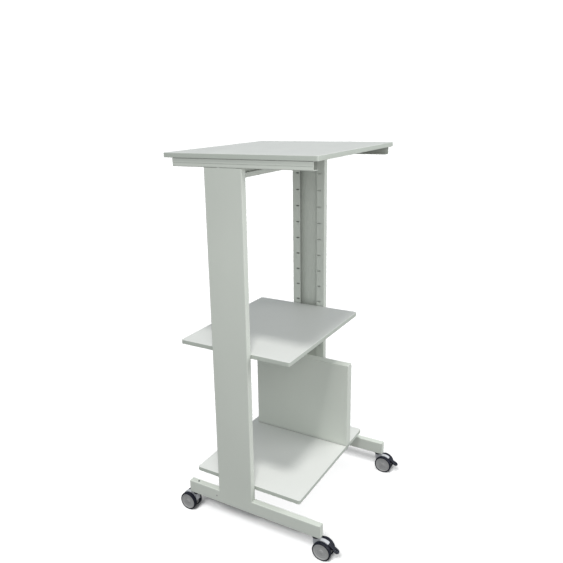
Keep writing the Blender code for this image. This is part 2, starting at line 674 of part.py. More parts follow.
# ---------------------------------------------------------------- build
def build():
    """Makes every piece."""
    for obj in list(bpy.data.objects):
        bpy.data.objects.remove(obj, do_unlink=True)
    laminate = material("laminate", (0.66, 0.68, 0.63), 0.0, 0.45)
    paint = material("paint", (0.56, 0.59, 0.54), 0.1, 0.5)
    mats = {
        "steel": material("zinc", (0.60, 0.60, 0.60), 0.9, 0.35),
        "hood": material("hood_plastic", (0.52, 0.53, 0.54), 0.0, 0.4),
        "hub": material("hub_plastic", (0.27, 0.27, 0.28), 0.0, 0.45),
        "tyre": material("tyre", (0.02, 0.02, 0.025), 0.0, 0.6),
        "black": material("black_plastic", (0.02, 0.02, 0.03), 0.0, 0.4),
    }
    board("worktop", TOP_HALF_W, TOP_Y, TOP_Z, TOP_CORNER, laminate)
    board("shelf_mid", MID_HALF_W, MID_Y, MID_TOP_Z, SHELF_CORNER, laminate)
    shelf_low = board("shelf_low", LOW_HALF_W, LOW_Y, LOW_TOP_Z, SHELF_CORNER, laminate)

    crossbar("crossbar", paint)
    guard = side_guard("side_guard", paint)
    guard_floor = (sum(GUARD_X) / 2, LOW_TOP_Z + GAP + SHEET)
    for word, y in zip(("front", "middle", "rear"), GUARD_SCREW_Y):
        screw("guard_screw_" + word, (guard_floor[0], y, guard_floor[1]), [shelf_low, guard], mats["steel"])
    for word, side in (("left", -1.0), ("right", 1.0)):
        rail("rail_" + word, side, paint)
        column("column_" + word, side, paint)
        foot("foot_" + word, side, paint)
        foot_cap("cap_front_" + word, side, 0, paint)
        foot_cap("cap_rear_" + word, side, 1, paint)
        angle_support("support_mid_" + word, side, MID_TOP_Z - BOARD_T - GAP, ANGLE_MID_DROP,
                      ANGLE_MID_Y, True, paint)
        angle_support("support_low_" + word, side, LOW_TOP_Z - BOARD_T - GAP, ANGLE_LOW_DROP,
                      ANGLE_LOW_Y, False, paint)
        x = side * (HALF_OUT - FRAME_T / 2)
        caster("front_" + word, x, STEM_Y[0], -1.0, True, mats)
        caster("rear_" + word, x, STEM_Y[1], 1.0, False, mats)


build()
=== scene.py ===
"""Looks of the mobile printer stand: fine casters, fixings and procedural materials round the CAD frame."""
import json
from math import atan2, cos, pi, radians, sin

import bmesh
import bpy
from mathutils import Matrix, Vector

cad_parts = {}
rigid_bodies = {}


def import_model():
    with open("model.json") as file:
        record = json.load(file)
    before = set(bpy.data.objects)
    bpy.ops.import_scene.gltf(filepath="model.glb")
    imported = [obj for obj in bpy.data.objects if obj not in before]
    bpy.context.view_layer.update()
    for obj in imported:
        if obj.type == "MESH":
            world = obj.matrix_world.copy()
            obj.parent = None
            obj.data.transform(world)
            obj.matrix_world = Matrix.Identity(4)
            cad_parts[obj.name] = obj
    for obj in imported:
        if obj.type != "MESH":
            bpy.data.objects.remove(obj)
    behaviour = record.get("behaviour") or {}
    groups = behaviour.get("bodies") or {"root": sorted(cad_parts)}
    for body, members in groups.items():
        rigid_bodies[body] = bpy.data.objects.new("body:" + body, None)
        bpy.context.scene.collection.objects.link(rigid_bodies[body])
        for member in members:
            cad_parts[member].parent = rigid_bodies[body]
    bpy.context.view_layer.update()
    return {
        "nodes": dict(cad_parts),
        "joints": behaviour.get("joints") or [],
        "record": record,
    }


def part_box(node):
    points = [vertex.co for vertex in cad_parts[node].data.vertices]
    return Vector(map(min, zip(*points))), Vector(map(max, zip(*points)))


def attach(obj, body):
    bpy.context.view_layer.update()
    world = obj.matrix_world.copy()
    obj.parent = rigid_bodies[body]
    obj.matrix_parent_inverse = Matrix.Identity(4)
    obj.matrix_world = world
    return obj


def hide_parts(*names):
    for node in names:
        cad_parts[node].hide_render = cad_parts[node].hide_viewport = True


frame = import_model()

SLOTS = {row["node"]: row["material_slot"] for row in frame["record"]["subparts"]}
BODY_OF = {node: body for body, nodes in frame["record"]["behaviour"]["bodies"].items() for node in nodes}
JOINT_AT = {joint["name"]: Vector(joint["pos_m"]) for joint in frame["joints"]}
SIDES = (("left", -1.0), ("right", 1.0))
CASTERS = [(end + "_" + side, away) for end, away in (("front", -1.0), ("rear", 1.0))
           for side in ("left", "right")]


# ---------------------------------------------------------------- camera and light
CAMERA_AT = (-1.7937, -0.9603, 1.4222)
CAMERA_YAW, CAMERA_PITCH, CAMERA_ROLL = -58.2, -16.3, -1.5       # degrees
CAMERA_SENSOR = 36.0             # mm, like the lens
CAMERA_LENS = 38.76
CAMERA_SHIFT = (0.0458, 0.003)


def camera():
    """Eye-level view from the front left."""
    yaw, pitch, roll = (radians(a) for a in (CAMERA_YAW, CAMERA_PITCH, CAMERA_ROLL))
    forward = Vector((-sin(yaw) * cos(pitch), cos(yaw) * cos(pitch), sin(pitch)))
    right = forward.cross(Vector((0.0, 0.0, 1.0))).normalized()
    up = right.cross(forward)
    local_x = right * cos(roll) + up * sin(roll)
    local_y = up * cos(roll) - right * sin(roll)
    turn = Matrix((local_x, local_y, -forward)).transposed()
    data = bpy.data.cameras.new("camera")
    data.sensor_width = CAMERA_SENSOR
    data.lens = CAMERA_LENS
    data.shift_x, data.shift_y = CAMERA_SHIFT
    data.clip_start, data.clip_end = 0.05, 60.0
    obj = bpy.data.objects.new("camera", data)
    obj.matrix_world = Matrix.Translation(CAMERA_AT) @ turn.to_4x4()
    bpy.context.scene.collection.objects.link(obj)
    bpy.context.scene.camera = obj


BACKDROP = 1.1                   # brightness of the white surroundings where they are seen
AMBIENT = 0.46                   # and as light on the object
AMBIENT_TINT = (0.93, 0.98, 1.0, 1.0)
SUN_FROM = Vector((-0.27, -0.15, 0.94))
SUN_POWER = 1.50
SUN_SPREAD = 8.0                 # degrees across, which sets how soft its shadows are
SUN_TINT = (1.0, 0.995, 0.98)
SOFT_BOXES = (                   # name, place, aim, side in metres, power in watts
    ("left_box", (-1.6, -1.1, 1.55), (0.0, 0.0, 1.0), 0.7, 9.0),
    ("front_box", (1.2, -3.0, 1.7), (0.1, 0.0, 0.8), 1.6, 42.0))

CONTACT_FROM = Vector((-0.76, -0.10, 1.0))
CONTACT_POWER = 10.5
CONTACT_SPREAD = 28.0            # degrees across
LOW_PIECES = ("foot_", "cap_", "hood_", "hub_", "tyre_", "pedal_")      # they shade the floor from it

FLOOR_HALF = 30.0                # half the side of the sweep
FLOOR_ALBEDO = 0.30              # how much light the sweep returns where it is seen
FLOOR_BOUNCE = 0.090             # and as light on the object
FLOOR_GLOW = 0.12                # light that it adds to itself where it is seen
FLOOR_REACH = 0.20               # how near the object dims that glow into a painted shadow
FLOOR_SHUT, FLOOR_OPEN = 0.52, 0.97     # openness at which the glow is dimmest, and at which it is full
GLOW_SHUT, GLOW_OPEN = (0.34, 0.34, 0.36), (0.90, 0.90, 0.90)


def area_light(name, at, target, size, watts):
    """Soft square light aimed at a point."""
    data = bpy.data.lights.new(name, "AREA")
    data.shape = "SQUARE"
    data.size = size
    data.energy = watts
    obj = bpy.data.objects.new(name, data)
    aim = (Vector(target) - Vector(at)).to_track_quat("-Z", "Y")
    obj.matrix_world = Matrix.Translation(at) @ aim.to_matrix().to_4x4()
    bpy.context.scene.collection.objects.link(obj)


def sun(name, source, power, spread):
    """Sunlight from a direction, `spread` degrees across."""
    data = bpy.data.lights.new(name, "SUN")
    data.energy = power
    data.angle = radians(spread)
    obj = bpy.data.objects.new(name, data)
    obj.matrix_world = source.to_track_quat("Z", "Y").to_matrix().to_4x4()
    bpy.context.scene.collection.objects.link(obj)
    return obj


def surroundings():
    """White world: full white where it is seen, and dimmer as a light."""
    world = bpy.data.worlds.new("studio")
    world.use_nodes = True
    nodes, links = world.node_tree.nodes, world.node_tree.links
    seen = nodes["Background"]
    seen.inputs["Color"].default_value = (1.0, 1.0, 1.0, 1.0)
    seen.inputs["Strength"].default_value = BACKDROP
    light = nodes.new("ShaderNodeBackground")
    light.inputs["Color"].default_value = AMBIENT_TINT
    light.inputs["Strength"].default_value = AMBIENT
    path = nodes.new("ShaderNodeLightPath")
    mix = nodes.new("ShaderNodeMixShader")
    links.new(path.outputs["Is Camera Ray"], mix.inputs["Fac"])
    links.new(light.outputs["Background"], mix.inputs[1])
    links.new(seen.outputs["Background"], mix.inputs[2])
    links.new(mix.outputs["Shader"], nodes["World Output"].inputs["Surface"])
    bpy.context.scene.world = world
    bpy.context.scene.view_settings.view_transform = "Standard"


def studio():
    """White sweep and surroundings, a high key light, a broad front box and a soft box at the left."""
    surroundings()
    key = sun("key", SUN_FROM, SUN_POWER, SUN_SPREAD)
    key.data.color = SUN_TINT
    for soft_box in SOFT_BOXES:
        area_light(*soft_box)

    bm = bmesh.new()
    bmesh.ops.create_grid(bm, x_segments=1, y_segments=1, size=FLOOR_HALF)
    mesh = bpy.data.meshes.new("floor")
    bm.to_mesh(mesh)
    bm.free()
    floor = bpy.data.objects.new("floor", mesh)
    bpy.context.scene.collection.objects.link(floor)
    mesh.materials.append(sweep("floor"))
    return floor


def contact_light(floor):
    """Lights the floor alone and is blocked by the feet and casters alone, for soft shadows under them."""
    lamp = sun("contact", CONTACT_FROM, CONTACT_POWER, CONTACT_SPREAD)
    lit = bpy.data.collections.new("contact_lit")
    lit.objects.link(floor)
    blocking = bpy.data.collections.new("contact_blocking")
    for obj in bpy.context.scene.collection.objects:
        if obj.type == "MESH" and obj.name.startswith(LOW_PIECES):
            blocking.objects.link(obj)
    lamp.light_linking.receiver_collection = lit
    lamp.light_linking.blocker_collection = blocking


# ---------------------------------------------------------------- materials
class Finish:
    """A Principled material and short calls for the nodes that vary it."""

    def __init__(self, name, roughness, metallic=0.0, specular=0.5):
        self.mat = bpy.data.materials.new(name)
        self.mat.use_nodes = True
        self.nodes = self.mat.node_tree.nodes
        self.shader = self.nodes["Principled BSDF"]
        self.shader.inputs["Roughness"].default_value = roughness
        self.shader.inputs["Metallic"].default_value = metallic
        self.shader.inputs["Specular IOR Level"].default_value = specular
        self.where = self.nodes.new("ShaderNodeTexCoord").outputs["Object"]

    def link(self, source, target):
        self.mat.node_tree.links.new(source, target)

    def noise(self, scale, detail=4.0, stretch=(1.0, 1.0, 1.0)):
        """Noise in object space, as a 0 to 1 value; scale is in lumps per metre."""
        mapping = self.nodes.new("ShaderNodeMapping")
        mapping.inputs["Scale"].default_value = stretch
        self.link(self.where, mapping.inputs["Vector"])
        node = self.nodes.new("ShaderNodeTexNoise")
        node.inputs["Scale"].default_value = scale
        node.inputs["Detail"].default_value = detail
        self.link(mapping.outputs["Vector"], node.inputs["Vector"])
        return node.outputs["Fac"]

    def ramp(self, value, low, high, out_low=0.0, out_high=1.0):
        """Maps a value from one range to another, clamped."""
        node = self.nodes.new("ShaderNodeMapRange")
        node.inputs["From Min"].default_value = low
        node.inputs["From Max"].default_value = high
        node.inputs["To Min"].default_value = out_low
        node.inputs["To Max"].default_value = out_high
        self.link(value, node.inputs["Value"])
        return node.outputs["Result"]

    def mix(self, factor, first, second):
        """Blends two colours, each a triple or another node's output."""
        node = self.nodes.new("ShaderNodeMix")
        node.data_type = "RGBA"
        self.link(factor, node.inputs["Factor"])
        for name, value in (("A", first), ("B", second)):
            socket = [s for s in node.inputs if s.name == name and s.type == "RGBA"][0]
            if isinstance(value, tuple):
                socket.default_value = (*value, 1.0)
            else:
                self.link(value, socket)
        return [s for s in node.outputs if s.type == "RGBA"][0]

    def maths(self, kind, first, second):
        node = self.nodes.new("ShaderNodeMath")
        node.operation = kind
        for socket, value in zip(node.inputs, (first, second)):
            if isinstance(value, float):
                socket.default_value = value
            else:
                self.link(value, socket)
        return node.outputs["Value"]

    def axis(self, source, name):
        """One component of a vector output."""
        node = self.nodes.new("ShaderNodeSeparateXYZ")
        self.link(source, node.inputs["Vector"])
        return node.outputs[name]

    def crevice(self, reach, low, high, samples=8):
        """Ambient-occlusion mask for painted shade: 1 deep in a corner or slot, 0 in the open; reach is how
        near the other surfaces are, in metres.
        """
        node = self.nodes.new("ShaderNodeAmbientOcclusion")
        node.samples = samples
        node.inputs["Distance"].default_value = reach
        return self.ramp(node.outputs["AO"], low, high, 1.0, 0.0)

    def colour(self, source):
        self.link(source, self.shader.inputs["Base Color"])

    def rough(self, source):
        self.link(source, self.shader.inputs["Roughness"])

    def bump(self, height, depth, strength=1.0):
        """Surface relief of `depth` metres for a height of 1."""
        node = self.nodes.new("ShaderNodeBump")
        node.inputs["Strength"].default_value = strength
        node.inputs["Distance"].default_value = depth
        self.link(height, node.inputs["Height"])
        self.link(node.outputs["Normal"], self.shader.inputs["Normal"])
        return self.mat


def powder_coat(name, colour):
    """Fine orange-peel paint with slight tone drift, faint rubbed patches and painted shade that darkens its
    corners and slots.
    """
    f = Finish(name, 0.42)
    drift = f.ramp(f.noise(2.2, 2.0), 0.3, 0.7)
    tint = f.mix(drift, tuple(c * 0.965 for c in colour), tuple(c * 1.03 for c in colour))
    grain = f.ramp(f.noise(900.0, 3.0), 0.35, 0.75)
    tint = f.mix(f.maths("MULTIPLY", grain, 0.10), tint, tuple(c * 0.72 for c in colour))
    # painted shade: ambient occlusion darkens the paint in corners, slots and under other parts
    dust_and_painted_shade = f.maths("MULTIPLY", f.crevice(0.030, 0.14, 0.66), 0.80)
    f.colour(f.mix(dust_and_painted_shade, tint, tuple(c * 0.20 for c in colour)))
    rub = f.ramp(f.noise(26.0, 6.0, (1.0, 1.0, 0.3)), 0.45, 0.8)
    f.rough(f.ramp(rub, 0.0, 1.0, 0.40, 0.56))
    peel = f.maths("ADD", f.noise(520.0, 2.0), f.maths("MULTIPLY", f.noise(1900.0, 2.0), 0.4))
    return f.bump(peel, 0.00010, 0.55)


def laminate(name, face, band):
    """Pale laminate with a fine fleck; the narrow edge band is slightly greener and glossier."""
    f = Finish(name, 0.38)
    fleck = f.ramp(f.noise(1500.0, 2.0), 0.56, 0.72)
    speck = f.ramp(f.noise(420.0, 2.0, (1.0, 0.35, 1.0)), 0.58, 0.74)
    spots = f.maths("MULTIPLY", f.maths("MAXIMUM", fleck, speck), 0.20)
    top = f.mix(spots, face, tuple(c * 0.80 for c in face))
    drift = f.ramp(f.noise(3.0, 2.0), 0.3, 0.7, 0.0, 0.25)
    top = f.mix(drift, top, tuple(c * 0.93 for c in face))
    geometry = f.nodes.new("ShaderNodeNewGeometry")
    upright = f.maths("ABSOLUTE", f.axis(geometry.outputs["True Normal"], "Z"), 0.0)
    edge = f.ramp(upright, 0.55, 0.75, 1.0, 0.0)
    f.colour(f.mix(edge, top, band))
    wear = f.ramp(f.noise(14.0, 7.0), 0.42, 0.75, 0.34, 0.50)
    f.rough(wear)
    relief = f.maths("ADD", f.noise(1100.0, 3.0), f.maths("MULTIPLY", f.noise(260.0, 2.0), 0.6))
    return f.bump(relief, 0.00006, 0.5)


def zinc(name):
    """Bright plated steel with turning marks."""
    f = Finish(name, 0.32, 1.0)
    drift = f.ramp(f.noise(90.0, 4.0), 0.3, 0.7)
    f.colour(f.mix(drift, (0.50, 0.51, 0.52), (0.66, 0.66, 0.64)))
    lines = f.noise(2600.0, 2.0, (0.02, 1.0, 1.0))
    f.rough(f.ramp(lines, 0.3, 0.7, 0.24, 0.42))
    return f.bump(lines, 0.00002, 0.4)


def moulded(name, colour, roughness, grain, depth):
    """Moulded plastic with a fine spark-eroded grain and slight scuffs."""
    f = Finish(name, roughness)
    drift = f.ramp(f.noise(70.0, 4.0), 0.3, 0.7)
    tint = f.mix(drift, tuple(c * 0.93 for c in colour), tuple(min(1.0, c * 1.06) for c in colour))
    f.colour(tint)
    scuff = f.ramp(f.noise(240.0, 6.0), 0.52, 0.78, roughness - 0.05, roughness + 0.16)
    f.rough(scuff)
    return f.bump(f.noise(grain, 3.0), depth, 0.6)


def tyre_rubber(name):
    """Black polyurethane tread, greyed a little where it has picked up dust."""
    f = Finish(name, 0.55, specular=0.28)
    dust_and_painted_shade = f.ramp(f.noise(160.0, 6.0), 0.50, 0.80, 0.0, 0.5)
    f.colour(f.mix(dust_and_painted_shade, (0.007, 0.008, 0.017), (0.026, 0.029, 0.043)))
    f.rough(f.ramp(f.noise(300.0, 5.0), 0.35, 0.7, 0.42, 0.66))
    return f.bump(f.noise(1800.0, 3.0), 0.00005, 0.5)


def sweep(name):
    """White floor that glows in the open and less near the object, a painted contact shadow, and bounces less
    light than it shows.
    """
    f = Finish(name, 0.9, specular=0.0)
    f.shader.inputs["Base Color"].default_value = (FLOOR_ALBEDO, FLOOR_ALBEDO, FLOOR_ALBEDO, 1.0)
    # painted contact shadow: the floor's glow dims where ambient occlusion finds the object near
    painted_shadow = f.crevice(FLOOR_REACH, FLOOR_SHUT, FLOOR_OPEN, 16)
    f.link(f.mix(painted_shadow, GLOW_OPEN, GLOW_SHUT), f.shader.inputs["Emission Color"])
    f.shader.inputs["Emission Strength"].default_value = FLOOR_GLOW
    bounce = f.nodes.new("ShaderNodeBsdfDiffuse")
    bounce.inputs["Color"].default_value = (FLOOR_BOUNCE, FLOOR_BOUNCE, FLOOR_BOUNCE, 1.0)
    path = f.nodes.new("ShaderNodeLightPath")
    either = f.nodes.new("ShaderNodeMixShader")
    f.link(path.outputs["Is Camera Ray"], either.inputs["Fac"])
    f.link(bounce.outputs["BSDF"], either.inputs[1])
    f.link(f.shader.outputs["BSDF"], either.inputs[2])
    f.link(either.outputs["Shader"], f.nodes["Material Output"].inputs["Surface"])
    return f.mat


PAINT = powder_coat("powder_coat", (0.70, 0.735, 0.675))
LAMINATE = laminate("laminate", (0.77, 0.78, 0.755), (0.55, 0.59, 0.535))
ZINC = zinc("zinc_plate")
HOOD = moulded("hood_grey", (0.56, 0.57, 0.60), 0.42, 1500.0, 0.00005)
HUB = moulded("hub_grey", (0.41, 0.41, 0.41), 0.40, 1500.0, 0.00005)
PEDAL = moulded("pedal_black", (0.011, 0.012, 0.023), 0.36, 1300.0, 0.00006)
TYRE = tyre_rubber("tyre_black")
FINISH = {"paint": PAINT, "laminate": LAMINATE, "zinc": ZINC, "hood_plastic": HOOD,
          "hub_plastic": HUB, "black_plastic": PEDAL, "tyre": TYRE}


# ---------------------------------------------------------------- mesh helpers
def finish_mesh(name, bm, sharp=32.0):
    """Closed, outward-facing mesh, smooth except at edges sharper than `sharp` degrees."""
    bmesh.ops.remove_doubles(bm, verts=bm.verts, dist=1e-6)
    bmesh.ops.recalc_face_normals(bm, faces=bm.faces)
    mesh = bpy.data.meshes.new(name)
    bm.to_mesh(mesh)
    bm.free()
    mesh.shade_smooth()
    mesh.set_sharp_from_angle(angle=radians(sharp))
    return mesh


def piece(name, mesh, body, slot, replaces=None, at=None):
    """New piece with its slot's finish, riding on its body; flat faces keep flat shading."""
    obj = bpy.data.objects.new(name, mesh)
    if at is not None:
        obj.matrix_world = at
    bpy.context.scene.collection.objects.link(obj)
    if not mesh.materials:
        mesh.materials.append(FINISH[slot])
    even = obj.modifiers.new("even_normals", "WEIGHTED_NORMAL")
    even.keep_sharp = True
    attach(obj, body)
    if replaces:
        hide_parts(replaces)
    return obj


def skin(bm, loops, ring=False):
    """Skins equal-length 3-D loops with quads, and caps the ends unless they form a ring."""
    rows = [[bm.verts.new(point) for point in loop] for loop in loops]
    pairs = list(zip(rows, rows[1:]))
    if ring:
        pairs.append((rows[-1], rows[0]))
    count = len(rows[0])
    for low, high in pairs:
        for i in range(count):
            j = (i + 1) % count
            bm.faces.new((low[i], low[j], high[j], high[i]))
    if not ring:
        bm.faces.new(rows[0])
        bm.faces.new(rows[-1])
    return bm


def place(loop, axis, at):
    """Lifts a 2-D loop into 3-D: (y, z) for axis X, (x, y) for axis Z."""
    if axis == "X":
        return [(at, u, v) for u, v in loop]
    return [(u, v, at) for u, v in loop]


def arc(centre, radius, start, end, steps):
    """Points on an arc between two angles in degrees, the ends included."""
    points = []
    for k in range(steps + 1):
        angle = radians(start + (end - start) * k / steps)
        points.append((centre[0] + radius * cos(angle), centre[1] + radius * sin(angle)))
    return points


def stadium(start, end, radius, steps=16):
    """Anticlockwise outline of a bar with round ends between two points."""
    lead = atan2(end[1] - start[1], end[0] - start[0]) * 180.0 / pi
    far_end = arc(end, radius, lead - 90.0, lead + 90.0, steps)
    return far_end + arc(start, radius, lead + 90.0, lead + 270.0, steps)


def inset(loop, amount):
    """Moves each point of an anticlockwise 2-D loop inwards along its corner's bisector."""
    moved = []
    for i, point in enumerate(loop):
        here = Vector(point)
        before = (here - Vector(loop[i - 1])).normalized()
        after = (Vector(loop[(i + 1) % len(loop)]) - here).normalized()
        normal = Vector((-before.y - after.y, before.x + after.x)).normalized()
        scale = amount / max(0.3, normal.dot(Vector((-before.y, before.x))))
        moved.append(tuple(here + normal * scale))
    return moved


def slab(bm, loop, axis, low, high, edge, steps=5):
    """Extrudes a 2-D loop between two planes and rounds both rims by `edge`."""
    loops = []
    for k in range(steps + 1):
        angle = k / steps * pi / 2
        loops.append(place(inset(loop, edge * (1 - sin(angle))), axis, low + edge * (1 - cos(angle))))
    for k in range(steps + 1):
        angle = (1 - k / steps) * pi / 2
        loops.append(place(inset(loop, edge * (1 - sin(angle))), axis, high - edge * (1 - cos(angle))))
    return skin(bm, loops)


def spin(bm, profile, centre, axis, segments, ring=False):
    """Turns (radius, distance) pairs about an axis through `centre`; zero radii become poles."""
    rows = []
    for radius, along in profile:
        row = []
        for k in range(1 if radius == 0.0 else segments):
            angle = 2 * pi * k / segments
            u, v = radius * cos(angle), radius * sin(angle)
            offset = (along, u, v) if axis == "X" else (u, v, along)
            row.append(bm.verts.new(Vector(centre) + Vector(offset)))
        rows.append(row)
    pairs = list(zip(rows, rows[1:]))
    if ring:
        pairs.append((rows[-1], rows[0]))
    for low, high in pairs:
        for i in range(segments):
            j = (i + 1) % segments
            corners = [low[i % len(low)], low[j % len(low)], high[j % len(high)], high[i % len(high)]]
            bm.faces.new(list(dict.fromkeys(corners)))
    return bm


def rod(radius, low, high, centre, axis, segments=48):
    """Plain cylinder between two distances along an axis."""
    return spin(bmesh.new(), [(0.0, low), (radius, low), (radius, high), (0.0, high)], centre, axis, segments)


def box(low, high):
    """Plain block between two corners."""
    bm = bmesh.new()
    bmesh.ops.create_cube(bm, size=1.0)
    for vert in bm.verts:
        vert.co = [low[i] + (vert.co[i] + 0.5) * (high[i] - low[i]) for i in range(3)]
    return bm


def combined(bm, *steps):
    """Applies (operation, tool) Booleans to a bmesh one after the other, and returns the result."""
    collection = bpy.context.scene.collection
    base = bpy.data.objects.new("base", finish_mesh("base", bm))
    collection.objects.link(base)
    tools = []
    for operation, tool in steps:
        obj = bpy.data.objects.new("tool", finish_mesh("tool", tool))
        collection.objects.link(obj)
        tools.append(obj)
        mod = base.modifiers.new("step", "BOOLEAN")
        mod.operation = operation
        mod.solver = "EXACT"
        mod.object = obj
    result = bmesh.new()
    result.from_object(base, bpy.context.evaluated_depsgraph_get())
    for obj in tools + [base]:
        mesh = obj.data
        bpy.data.objects.remove(obj)
        bpy.data.meshes.remove(mesh)
    return result


def round_edges(bm, width, keep, steps=2):
    """Rounds the edges sharper than 50 degrees for which `keep` holds."""
    edges = []
    for edge in bm.edges:
        if len(edge.link_faces) == 2 and edge.calc_face_angle() > radians(50) and keep(edge):
            edges.append(edge)
    bmesh.ops.bevel(bm, geom=edges, offset=width, segments=steps, profile=0.5, affect="EDGES",
                    clamp_overlap=True)
    return bm


# ---------------------------------------------------------------- sheet metal and boards
SHEET = 0.002                    # thickness of the frame's sheet
SHEET_EDGE = 0.0003              # rounding of cut sheet edges under their paint
MITRE_GAP = 0.0007               # open corner between the side guard's folded edges
MITRE_OUT, MITRE_IN = 0.002, 0.0045     # how far the gap runs past the corner, and into the tray
MITRE_FLOOR = 0.0024             # and how far from the tray's outer face it stops
PAST = 0.001                     # how far a tool reaches past the face it cuts from
CAP_SEAM = 0.0005                # rounding that shows the seam between a foot and its end caps


def solid_of(node):
    """A CAD node's solid with its triangles merged back into flat faces."""
    bm = bmesh.new()
    bm.from_mesh(frame["nodes"][node].data)
    bmesh.ops.remove_doubles(bm, verts=bm.verts, dist=2e-6)
    bmesh.ops.dissolve_limit(bm, angle_limit=radians(0.4), verts=bm.verts, edges=bm.edges)
    return bm


def mitres(node):
    """Tool that opens the four corners where a tray's folded edges meet."""
    low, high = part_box(node)
    bm = bmesh.new()
    for y, inward_y in ((low.y, 1.0), (high.y, -1.0)):
        for z, inward_z in ((low.z, 1.0), (high.z, -1.0)):
            along = Vector((0.0, inward_y, inward_z)).normalized()
            across = Vector((0.0, -along.z, along.y)) * MITRE_GAP / 2
            corner = Vector((0.0, y, z))
            loop = [corner - along * MITRE_OUT - across, corner + along * MITRE_IN - across,
                    corner + along * MITRE_IN + across, corner - along * MITRE_OUT + across]
            ends = (low.x + MITRE_FLOOR, high.x + PAST)
            skin(bm, [[point + Vector((x, 0.0, 0.0)) for point in loop] for x in ends])
    return bm


def refine(node, width=SHEET_EDGE, *steps):
    """Replaces a CAD node by the same solid with true smooth bends and softened cut edges."""
    bm = solid_of(node)
    if steps:
        bm = combined(bm, *steps)
    if width:
        round_edges(bm, width, lambda edge: edge.calc_length() > 3 * width)
    piece(node + "_shell", finish_mesh(node + "_shell", bm), BODY_OF[node], SLOTS[node], node)


# ---------------------------------------------------------------- casters
TRAIL = 0.028                    # swivel axis to wheel axle
HOOD_HALF_T = 0.007
HOOD_R = 0.0333                  # outer rounding, about the wheels' axle
HOOD_TOP_Z = 0.0667
HOOD_BACK = -0.0082              # rear end, behind the swivel axis
HOOD_CORNER = 0.003
HOOD_ARC = (-38.0, 100.0)        # its ends, in degrees from level at the free end
HOOD_STEP = 54.0                 # where a braked hood steps in to make room for the pedal
HOOD_STEP_R = 0.0235
HOOD_EDGE = 0.0014
BORE_R = 0.0043                  # swivel bore
BORE_Z = 0.0454                  # its blind end
EYE_R = 0.0033                   # axle bore
PIN_BORE_R = 0.0018              # bore for the pedal's pin
CUT = 0.010                      # half the length of a tool that cuts right through
TONGUE_ROOM_Y = (0.0116, 0.0400)        # pocket for the pedal's tongue, from the axle
TONGUE_ROOM_Z = (0.0080, 0.0187)
TONGUE_PLAY = 0.0003

HUB_PROFILE = (                  # mm: (radius, height above the wheel's inner face), from the centre out
    (0.0, 14.25), (3.0, 14.2), (5.6, 14.0), (7.3, 13.6), (8.1, 13.1), (8.4, 12.55), (9.0, 12.45),
    (9.5, 12.8), (10.2, 12.95), (15.0, 12.75), (15.6, 12.35), (16.2, 12.35), (16.8, 12.8), (17.6, 12.95),
    (21.6, 13.0), (22.6, 12.9), (23.2, 12.75), (23.8, 12.8), (24.3, 13.5), (24.8, 14.3), (25.4, 14.65),
    (26.0, 14.7), (27.1, 14.7), (27.6, 14.55), (27.8, 14.1), (27.8, 0.6), (27.3, 0.1), (26.4, 0.1),
    (25.8, 0.8), (11.5, 1.2), (10.9, 0.1), (4.2, 0.1), (3.3, 0.9), (3.3, 10.0), (0.0, 10.0))
TYRE_R = 32.5                    # mm, like the next two
TYRE_W = 15.0
TYRE_SEAT = 28.1                 # its inner radius


def tyre_profile():
    """Crowned tread with round shoulders and a shallow ring in each sidewall, in millimetres."""
    shoulder = 2.6
    middle = TYRE_W / 2
    half = [(TYRE_SEAT, 0.7), (TYRE_SEAT + 0.5, 0.25), (28.9, 0.15), (29.15, 0.4), (29.5, 0.4), (29.75, 0.1)]
    for k in range(7):
        angle = radians(90.0 * k / 6)
        half.append((TYRE_R - 0.25 - shoulder * (1 - sin(angle)), 0.05 + shoulder * (1 - cos(angle))))
    half += [(TYRE_R - 0.1, middle - 3.0), (TYRE_R, middle)]
    return half + [(r, TYRE_W - a) for r, a in half[-2::-1]]


def wheel(tag, hand, inner_x, axle):
    """Hub with a centre cap and pressed rings, and its tyre."""
    at = (inner_x, axle.y, axle.z)
    hub = [(r / 1000, hand * a / 1000) for r, a in HUB_PROFILE]
    mesh = finish_mesh("hub_" + tag + "_turned", spin(bmesh.new(), hub, at, "X", 96), 38.0)
    piece("hub_" + tag + "_turned", mesh, "wheel_" + tag, "hub_plastic", "hub_" + tag)
    tyre = [(r / 1000, hand * a / 1000) for r, a in tyre_profile()]
    mesh = finish_mesh("tyre_" + tag + "_turned", spin(bmesh.new(), tyre, at, "X", 112, ring=True), 38.0)
    piece("tyre_" + tag + "_turned", mesh, "wheel_" + tag, "tyre", "tyre_" + tag)


